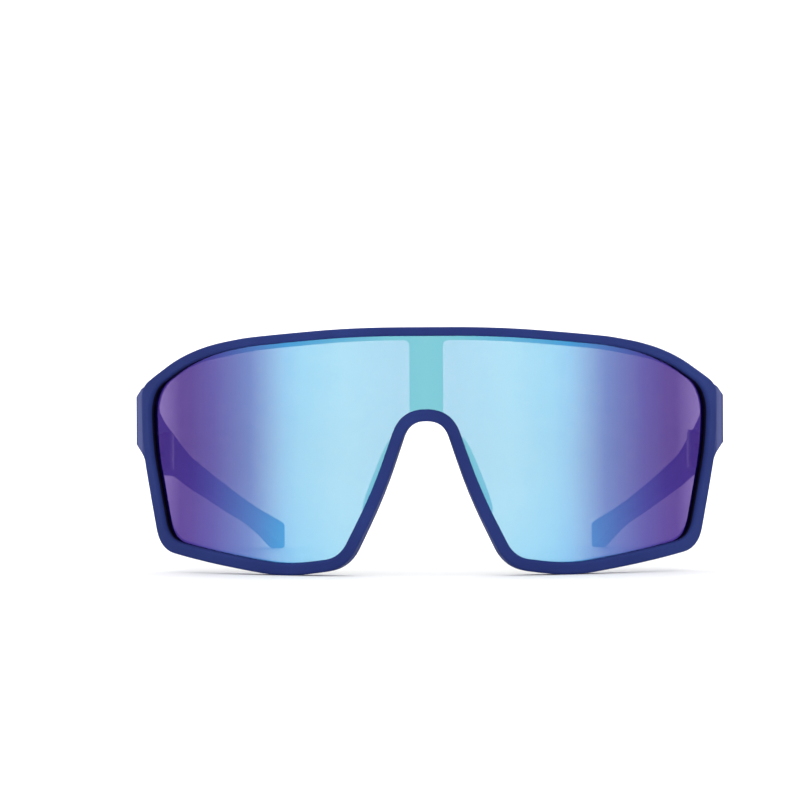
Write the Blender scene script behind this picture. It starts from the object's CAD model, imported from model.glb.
import math

import bmesh
import bpy
from mathutils import Matrix, Vector


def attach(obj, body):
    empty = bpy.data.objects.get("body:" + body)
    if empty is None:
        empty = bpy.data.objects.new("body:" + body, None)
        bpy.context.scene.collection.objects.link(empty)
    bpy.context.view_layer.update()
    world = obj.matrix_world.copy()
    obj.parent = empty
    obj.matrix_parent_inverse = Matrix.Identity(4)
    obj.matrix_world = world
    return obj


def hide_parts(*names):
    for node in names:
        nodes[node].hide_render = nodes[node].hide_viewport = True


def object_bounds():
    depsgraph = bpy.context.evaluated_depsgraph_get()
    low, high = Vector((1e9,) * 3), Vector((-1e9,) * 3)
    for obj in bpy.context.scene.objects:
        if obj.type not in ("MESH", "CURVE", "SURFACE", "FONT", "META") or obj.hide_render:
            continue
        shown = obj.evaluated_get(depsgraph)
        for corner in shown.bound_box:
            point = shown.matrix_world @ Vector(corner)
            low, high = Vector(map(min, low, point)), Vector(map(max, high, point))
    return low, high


# Wraparound shield sunglasses: one mirrored lens in a matte navy rim, two folding temples.
# Metres, +Z up, the lens faces -Y, +X is the wearer's left.

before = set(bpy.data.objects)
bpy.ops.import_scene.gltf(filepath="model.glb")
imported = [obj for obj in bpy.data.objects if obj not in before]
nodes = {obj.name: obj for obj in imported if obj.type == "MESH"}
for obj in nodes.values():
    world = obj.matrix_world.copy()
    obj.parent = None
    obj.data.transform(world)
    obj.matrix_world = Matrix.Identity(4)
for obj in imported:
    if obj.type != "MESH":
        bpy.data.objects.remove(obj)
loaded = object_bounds()
SIDES = ("left", "right")

# The rim and the lens are arcs about one upright axis. LENS_REACH is half the lens's width.
FRONT_RADIUS = 0.1
LENS_FRONT_RADIUS = 0.0984
RIM_REAR_RADIUS = 0.0951
LENS_REACH = 0.0715
AXIS_Y = loaded[0][1] + FRONT_RADIUS

# Each finish runs between two linear colours.
NAVY = ((0.0135, 0.0245, 0.13), (0.0185, 0.035, 0.165))
SLEEVE_NAVY = ((0.006, 0.02, 0.11), (0.009, 0.027, 0.135))
PAD_CYAN = ((0.02, 0.11, 0.17), (0.03, 0.14, 0.21))
STEEL = ((0.42, 0.43, 0.45), (0.62, 0.63, 0.65))
PAPER = ((0.88, 0.88, 0.88), (0.92, 0.92, 0.92))
BEVEL_NAVY = (0.075, 0.09, 0.24)
RECESS_BLACK = (0.002, 0.001, 0.008)

# Colours of the lens body and of its mirror, from the middle (0) to the ends (1).
TINT_STOPS = (
    (0.0, (0.34, 0.18, 0.28)),
    (0.11, (0.34, 0.19, 0.29)),
    (0.28, (0.47, 0.46, 0.36)),
    (0.42, (0.44, 0.50, 0.36)),
    (0.50, (0.40, 0.40, 0.30)),
    (0.61, (0.17, 0.13, 0.14)),
    (0.75, (0.11, 0.08, 0.12)),
    (0.86, (0.11, 0.07, 0.11)),
    (0.94, (0.30, 0.23, 0.38)),
    (1.0, (0.40, 0.32, 0.50)),
)
MIRROR_STOPS = (
    (0.0, (0.32, 0.85, 0.98)),
    (0.12, (0.29, 0.82, 0.98)),
    (0.28, (0.19, 0.64, 0.97)),
    (0.48, (0.10, 0.48, 0.95)),
    (0.58, (0.12, 0.30, 0.75)),
    (0.66, (0.11, 0.19, 0.60)),
    (0.74, (0.10, 0.10, 0.47)),
    (0.82, (0.085, 0.05, 0.36)),
    (1.0, (0.07, 0.025, 0.27)),
)

# Scales of the surface detail, in cycles per metre.
PLASTIC_CLOUDS = 55.0
PLASTIC_GLOSS = 700.0
PLASTIC_GRAIN = 4200.0
TINT_DRIFT = 28.0
TINT_GLOSS = 900.0
MIRROR_GLOSS = 420.0
RUBBER_CLOUDS = 160.0
RUBBER_GLOSS = 900.0
RUBBER_GRAIN = 2600.0
STEEL_LINES = 2400.0
PAPER_CLOUDS = 40.0

# The recess paint is dark between the lens and the rounded front edge, away from the nose,
# on walls that face the middle. The bevel paint is pale far out, on faces that slant forward
# or down rather than straight to the side. Each pair is where a fade starts and ends.
RECESS_REAR = (LENS_FRONT_RADIUS - 0.0004, LENS_FRONT_RADIUS)
RECESS_FRONT = (0.0989, 0.0993)
RECESS_ACROSS = (0.03, 0.04)
RECESS_FACING = (-0.5, -0.1)
BEVEL_ACROSS = (0.0713, 0.0722)
BEVEL_FACING = (0.86, 0.95)


# ---------------------------------------------------------------- node materials

# Places of the colour sockets among the inputs and outputs of a Mix node.
MIX_FIRST_COLOUR = 6
MIX_SECOND_COLOUR = 7
MIX_COLOUR = 2
# Stretch of the noise over which a clouded colour changes.
CLOUD_LOW = 0.3
CLOUD_HIGH = 0.7


class Shader:
    """A node material with one Principled shader, and short calls to add and link nodes."""

    def __init__(self, name, **settings):
        self.material = bpy.data.materials.new(name)
        self.material.use_nodes = True
        self.tree = self.material.node_tree
        self.surface = self.tree.nodes["Principled BSDF"]
        for socket, value in settings.items():
            self.surface.inputs[socket.replace("_", " ")].default_value = value

    def add(self, kind, inputs=None, **properties):
        """Add a node, set its properties, and set or link its inputs."""
        node = self.tree.nodes.new("ShaderNode" + kind)
        for name, value in properties.items():
            setattr(node, name, value)
        for name, value in (inputs or {}).items():
            self.feed(node.inputs[name], value)
        return node

    def feed(self, socket, value):
        """Link a socket to another node's output, or give it a number."""
        if isinstance(value, bpy.types.NodeSocket):
            self.tree.links.new(value, socket)
        else:
            socket.default_value = value

    def math(self, operation, first, second=0.0):
        """One arithmetic step."""
        return self.add("Math", {0: first, 1: second}, operation=operation).outputs[0]

    def noise(self, scale, detail=2.0, stretch=(1.0, 1.0, 1.0)):
        """Noise over the object's own space, with its scale in cycles per metre."""
        place = self.add("TexCoord").outputs["Object"]
        if stretch != (1.0, 1.0, 1.0):
            place = self.add("Mapping", {"Vector": place, "Scale": stretch}).outputs["Vector"]
        node = self.add("TexNoise", {"Vector": place, "Scale": scale, "Detail": detail})
        return node.outputs["Fac"]

    def ramp(self, factor, stops):
        """Colour ramp from (position, colour) stops."""
        node = self.add("ValToRGB", {"Fac": factor})
        elements = node.color_ramp.elements
        while len(elements) < len(stops):
            elements.new(1.0)
        for element, (position, colour) in zip(elements, stops):
            element.position = position
            element.color = (*colour, 1.0)
        return node.outputs["Color"]

    def between(self, factor, low, high):
        """A number that runs from low to high as a factor runs from 0 to 1."""
        node = self.add("MapRange", {"Value": factor, "To Min": low, "To Max": high})
        return node.outputs["Result"]

    def rise(self, value, start, end):
        """0 up to start, 1 from end on, and a smooth step between them."""
        inputs = {"Value": value, "From Min": start, "From Max": end}
        return self.add("MapRange", inputs, interpolation_type="SMOOTHSTEP").outputs["Result"]

    def fall(self, value, start, end):
        """1 up to start, 0 from end on, and a smooth step between them."""
        return self.math("SUBTRACT", 1.0, self.rise(value, start, end))

    def product(self, first, *others):
        """Product of several numbers."""
        for other in others:
            first = self.math("MULTIPLY", first, other)
        return first

    def clouds(self, scale, detail, colours):
        """Faint clouding between two colours."""
        dark, light = colours
        return self.ramp(self.noise(scale, detail), [(CLOUD_LOW, dark), (CLOUD_HIGH, light)])

    def axes(self, kind):
        """The three numbers of the object's own coordinates or normals."""
        place = self.add("TexCoord").outputs[kind]
        return self.add("SeparateXYZ", {"Vector": place}).outputs

    def mixed(self, factor, first, second):
        """Mix of a linked colour and a plain one."""
        node = self.add("Mix", {"Factor": factor}, data_type="RGBA")
        self.feed(node.inputs[MIX_FIRST_COLOUR], first)
        self.feed(node.inputs[MIX_SECOND_COLOUR], (*second, 1.0))
        return node.outputs[MIX_COLOUR]

    def bump(self, height, strength, distance):
        """Bump from a height, with its depth in metres."""
        inputs = {"Height": height, "Strength": strength, "Distance": distance}
        self.feed(self.surface.inputs["Normal"], self.add("Bump", inputs).outputs["Normal"])

    def set(self, socket, value):
        """Feed one of the surface's own inputs."""
        self.feed(self.surface.inputs[socket], value)


def moulded_plastic(name, roughness):
    """Matte moulded plastic, with its clouded colour: uneven gloss over a fine grain."""
    shader = Shader(name, Specular_IOR_Level=0.1)
    colour = shader.clouds(PLASTIC_CLOUDS, 3.0, NAVY)
    shader.set("Roughness", shader.between(shader.noise(PLASTIC_GLOSS), roughness - 0.05, roughness + 0.05))
    shader.bump(shader.noise(PLASTIC_GRAIN), 0.35, 0.00004)
    return shader, colour


def temple_plastic():
    """Plastic of the two arms."""
    shader, colour = moulded_plastic("matte_navy_temple", 0.62)
    shader.set("Base Color", colour)
    return shader.material


def rim_plastic():
    """Plastic of the front: near black in the recess before the lens, paler on the slanted bevels."""
    shader, colour = moulded_plastic("matte_navy_plastic", 0.66)
    across, back, _ = shader.axes("Object")
    sideways = shader.axes("Normal")[0]
    reach = shader.math("ABSOLUTE", across)
    behind = shader.math("SUBTRACT", back, AXIS_Y)
    squares = shader.math("ADD", shader.math("POWER", reach, 2.0), shader.product(behind, behind))
    radius = shader.math("SQRT", squares)
    outward = shader.product(shader.math("SIGN", across), sideways)
    recess = shader.product(
        shader.rise(radius, *RECESS_REAR),
        shader.fall(radius, *RECESS_FRONT),
        shader.fall(outward, *RECESS_FACING),
        shader.rise(reach, *RECESS_ACROSS),
    )
    slanted = shader.fall(shader.math("ABSOLUTE", sideways), *BEVEL_FACING)
    bevel = shader.product(shader.rise(reach, *BEVEL_ACROSS), slanted)
    bevelled = shader.mixed(bevel, colour, BEVEL_NAVY)
    shader.set("Base Color", shader.mixed(recess, bevelled, RECESS_BLACK))
    return shader.material


def lens_shader(name, stops, **settings):
    """Shader whose colour runs from the middle of the lens to its ends."""
    shader = Shader(name, **settings)
    reach = shader.math("ABSOLUTE", shader.axes("Object")[0])
    drift = shader.between(shader.noise(TINT_DRIFT, 1.0), -0.012, 0.012)
    share = shader.math("ADD", shader.math("DIVIDE", reach, LENS_REACH), drift)
    shader.set("Base Color", shader.ramp(share, stops))
    return shader


def lens_tint():
    """Clear tinted body of the lens."""
    shader = lens_shader("lens_tint", TINT_STOPS, Transmission_Weight=1.0, IOR=1.02)
    shader.set("Roughness", shader.between(shader.noise(TINT_GLOSS), 0.0, 0.03))
    return shader.material


def mirror_coating():
    """Half-clear mirror layer, cyan in the middle, blue and then violet towards the ends."""
    shader = lens_shader("mirror_coating", MIRROR_STOPS, Metallic=1.0, Alpha=0.6)
    shader.set("Roughness", shader.between(shader.noise(MIRROR_GLOSS, 3.0), 0.05, 0.12))
    return shader.material


def soft_rubber(name, colours):
    """Silicone or rubber with a slightly mottled, velvety surface."""
    shader = Shader(name, Sheen_Weight=0.15, Sheen_Roughness=0.4)
    shader.set("Base Color", shader.clouds(RUBBER_CLOUDS, 3.0, colours))
    shader.set("Roughness", shader.between(shader.noise(RUBBER_GLOSS), 0.55, 0.72))
    shader.bump(shader.noise(RUBBER_GRAIN, 3.0), 0.25, 0.00005)
    return shader.material


def brushed_steel(name, stretch):
    """Satin steel with fine lines along one direction."""
    shader = Shader(name, Metallic=1.0)
    lines = shader.noise(STEEL_LINES, 3.0, stretch)
    dark, light = STEEL
    shader.set("Base Color", shader.ramp(lines, [(CLOUD_LOW, dark), (CLOUD_HIGH, light)]))
    shader.set("Roughness", shader.between(lines, 0.22, 0.42))
    shader.bump(lines, 0.15, 0.00002)
    return shader.material


MATERIALS = {
    "rim": rim_plastic(),
    "temple": temple_plastic(),
    "lens": lens_tint(),
    "coating": mirror_coating(),
    "sleeve": soft_rubber("navy_sleeve_rubber", SLEEVE_NAVY),
    "pad": soft_rubber("pad_silicone", PAD_CYAN),
    "leaf": brushed_steel("hinge_steel", (1.0, 0.08, 1.0)),
    "screw": brushed_steel("screw_steel", (1.0, 1.0, 0.15)),
    "spring": brushed_steel("spring_steel", (1.0, 0.1, 1.0)),
}
# Material of each CAD node that has a left and a right one.
PAIRED_NODES = {
    "temple_arm": "temple",
    "temple_sleeve": "sleeve",
    "temple_core": "spring",
    "nose_pad": "pad",
    "nose_pad_core": "spring",
    "front_hinge_leaf": "leaf",
    "temple_hinge_leaf": "leaf",
    "front_leaf_rivets": "screw",
    "temple_leaf_rivets": "screw",
    "hinge_screw": "screw",
}


def paint(node, material):
    """Give a CAD node its material."""
    mesh = nodes[node].data
    mesh.materials.clear()
    mesh.materials.append(MATERIALS[material])


paint("front_frame", "rim")
paint("shield_lens", "lens")
for side in SIDES:
    for name, material in PAIRED_NODES.items():
        paint(f"{name}_{side}", material)


# ---------------------------------------------------------------- new pieces

def add_piece(name, mesh, material, body):
    """Smooth-shaded object of a mesh that rides on a body."""
    mesh.polygons.foreach_set("use_smooth", [True] * len(mesh.polygons))
    mesh.materials.append(MATERIALS[material])
    piece = bpy.data.objects.new(name, mesh)
    bpy.context.scene.collection.objects.link(piece)
    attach(piece, body)
    return piece


def coat_lens():
    """Mirror coating: a skin just in front of the lens, with the same curve and outline."""
    lift = 0.00002
    weld = 0.000002
    sheet = bmesh.new()
    sheet.from_mesh(nodes["shield_lens"].data)
    behind = []
    for face in sheet.faces:
        reaches = [math.hypot(vertex.co.x, vertex.co.y - AXIS_Y) for vertex in face.verts]
        if min(reaches) < LENS_FRONT_RADIUS - lift:
            behind.append(face)
    bmesh.ops.delete(sheet, geom=behind, context="FACES")
    bmesh.ops.remove_doubles(sheet, verts=sheet.verts, dist=weld)
    for vertex in sheet.verts:
        share = lift / math.hypot(vertex.co.x, vertex.co.y - AXIS_Y)
        vertex.co.x += vertex.co.x * share
        vertex.co.y += (vertex.co.y - AXIS_Y) * share
    mesh = bpy.data.meshes.new("mirror_coating")
    sheet.to_mesh(mesh)
    sheet.free()
    mesh.materials.clear()
    add_piece("mirror_coating", mesh, "coating", "front")


# The left pad: its middle, its tilt along the nose and splay towards the face, and its half
# thickness, depth and length. A power under 1 squares off a round.
PAD_MIDDLE = Vector((0.0118, loaded[0][1] + 0.01, 0.0239))
PAD_TURN = Matrix.Rotation(math.radians(-21.5), 3, "Y") @ Matrix.Rotation(math.radians(-6.0), 3, "Z")
PAD_HALF_SIZE = (0.00115, 0.0048, 0.01)
CROWN_POWER = 0.85
EDGE_POWER = 0.42
DEPTH_POWER = 0.75
LENGTH_POWER = 0.85
RINGS = 18
SPOKES = 48


def signed_power(value, exponent):
    """Power of a number's size that keeps its sign."""
    return math.copysign(abs(value) ** exponent, value)


def pad_point(latitude, angle):
    """Point of the left pad's crowned oval, held back to the rear face of the rim."""
    spread = abs(math.cos(latitude)) ** EDGE_POWER
    place = PAD_MIDDLE + PAD_TURN @ Vector((
        PAD_HALF_SIZE[0] * signed_power(math.sin(latitude), CROWN_POWER),
        PAD_HALF_SIZE[1] * signed_power(math.cos(angle), DEPTH_POWER) * spread,
        PAD_HALF_SIZE[2] * signed_power(math.sin(angle), LENGTH_POWER) * spread,
    ))
    reach = math.hypot(place.x, place.y - AXIS_Y)
    share = min(1.0, RIM_REAR_RADIUS / reach)
    return (place.x * share, AXIS_Y + (place.y - AXIS_Y) * share, place.z)


def nose_pad(side):
    """Crowned oval silicone pad whose front edge lies against the rear of the rim."""
    sign = 1.0 if side == "left" else -1.0
    shape = bmesh.new()
    rings = []
    for ring in range(RINGS + 1):
        latitude = math.pi * (ring / RINGS - 0.5)
        row = []
        for spoke in range(SPOKES if 0 < ring < RINGS else 1):
            across, back, height = pad_point(latitude, 2 * math.pi * spoke / SPOKES)
            row.append(shape.verts.new((sign * across, back, height)))
        rings.append(row)
    for near, far in zip(rings, rings[1:]):
        for spoke in range(SPOKES):
            following = (spoke + 1) % SPOKES
            corners = [near[spoke % len(near)], near[following % len(near)]]
            corners += [far[following % len(far)], far[spoke % len(far)]]
            shape.faces.new(list(dict.fromkeys(corners)))
    bmesh.ops.recalc_face_normals(shape, faces=shape.faces)
    mesh = bpy.data.meshes.new(f"silicone_pad_{side}")
    shape.to_mesh(mesh)
    shape.free()
    piece = add_piece(f"silicone_pad_{side}", mesh, "pad", "front")
    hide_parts(f"nose_pad_{side}")


coat_lens()
for side in SIDES:
    nose_pad(side)


# ---------------------------------------------------------------- studio

def sweep():
    """White floor that curves up into a backdrop, as one smooth sheet."""
    half_width = 3.0
    near_edge = -3.0
    wall = 1.6
    bend = 0.9
    bend_steps = 24
    wall_height = 3.0
    profile = [(near_edge, 0.0), (wall - bend, 0.0)]
    for step in range(1, bend_steps + 1):
        angle = math.pi / 2 * step / bend_steps
        profile.append((wall - bend + bend * math.sin(angle), bend - bend * math.cos(angle)))
    profile.append((wall, wall_height))
    vertices = []
    for back, height in profile:
        vertices += [(-half_width, back, height), (half_width, back, height)]
    faces = [(2 * i, 2 * i + 1, 2 * i + 3, 2 * i + 2) for i in range(len(profile) - 1)]
    mesh = bpy.data.meshes.new("studio_sweep")
    mesh.from_pydata(vertices, [], faces)
    mesh.polygons.foreach_set("use_smooth", [True] * len(faces))
    shader = Shader("studio_paper", Roughness=0.9)
    shader.set("Base Color", shader.clouds(PAPER_CLOUDS, 2.0, PAPER))
    mesh.materials.append(shader.material)
    backdrop = bpy.data.objects.new("studio_sweep", mesh)
    bpy.context.scene.collection.objects.link(backdrop)


def soft_light(name, place, target, width, height, power):
    """Rectangular soft light aimed at a point."""
    light = bpy.data.lights.new(name, "AREA")
    light.shape = "RECTANGLE"
    light.size = width
    light.size_y = height
    light.energy = power
    lamp = bpy.data.objects.new(name, light)
    lamp.location = place
    lamp.rotation_euler = (Vector(target) - Vector(place)).to_track_quat("-Z", "Y").to_euler()
    bpy.context.scene.collection.objects.link(lamp)


def light_studio():
    """Even white surroundings, a broad light from above and a wash on the backdrop."""
    world = bpy.data.worlds.new("studio")
    world.use_nodes = True
    background = world.node_tree.nodes["Background"]
    background.inputs["Color"].default_value = (1.0, 1.0, 1.0, 1.0)
    background.inputs["Strength"].default_value = 1.2
    bpy.context.scene.world = world
    glasses = (0.0, 0.0, 0.03)
    backdrop = (0.0, 1.6, 0.5)
    soft_light("overhead", (0.0, 0.1, 1.4), glasses, width=1.6, height=1.6, power=4.0)
    soft_light("backdrop_wash", (0.0, 0.3, 1.2), backdrop, width=2.4, height=0.6, power=14.0)


def place_camera():
    """Level view from the front, a little to the wearer's left."""
    distance = 0.762
    height = 0.04236
    azimuth = math.radians(1.25)
    roll = math.radians(0.25)
    camera = bpy.data.cameras.new("camera")
    camera.lens = 142.9
    camera.sensor_width = 36.0
    camera.shift_x = -0.0325
    camera.clip_start = 0.01
    holder = bpy.data.objects.new("camera", camera)
    back = loaded[0][1] - distance * math.cos(azimuth)
    holder.location = (distance * math.sin(azimuth), back, height)
    holder.rotation_euler = (math.pi / 2, roll, azimuth)
    bpy.context.scene.collection.objects.link(holder)
    bpy.context.scene.camera = holder


sweep()
light_studio()
place_camera()
bpy.context.scene.view_settings.view_transform = "Standard"
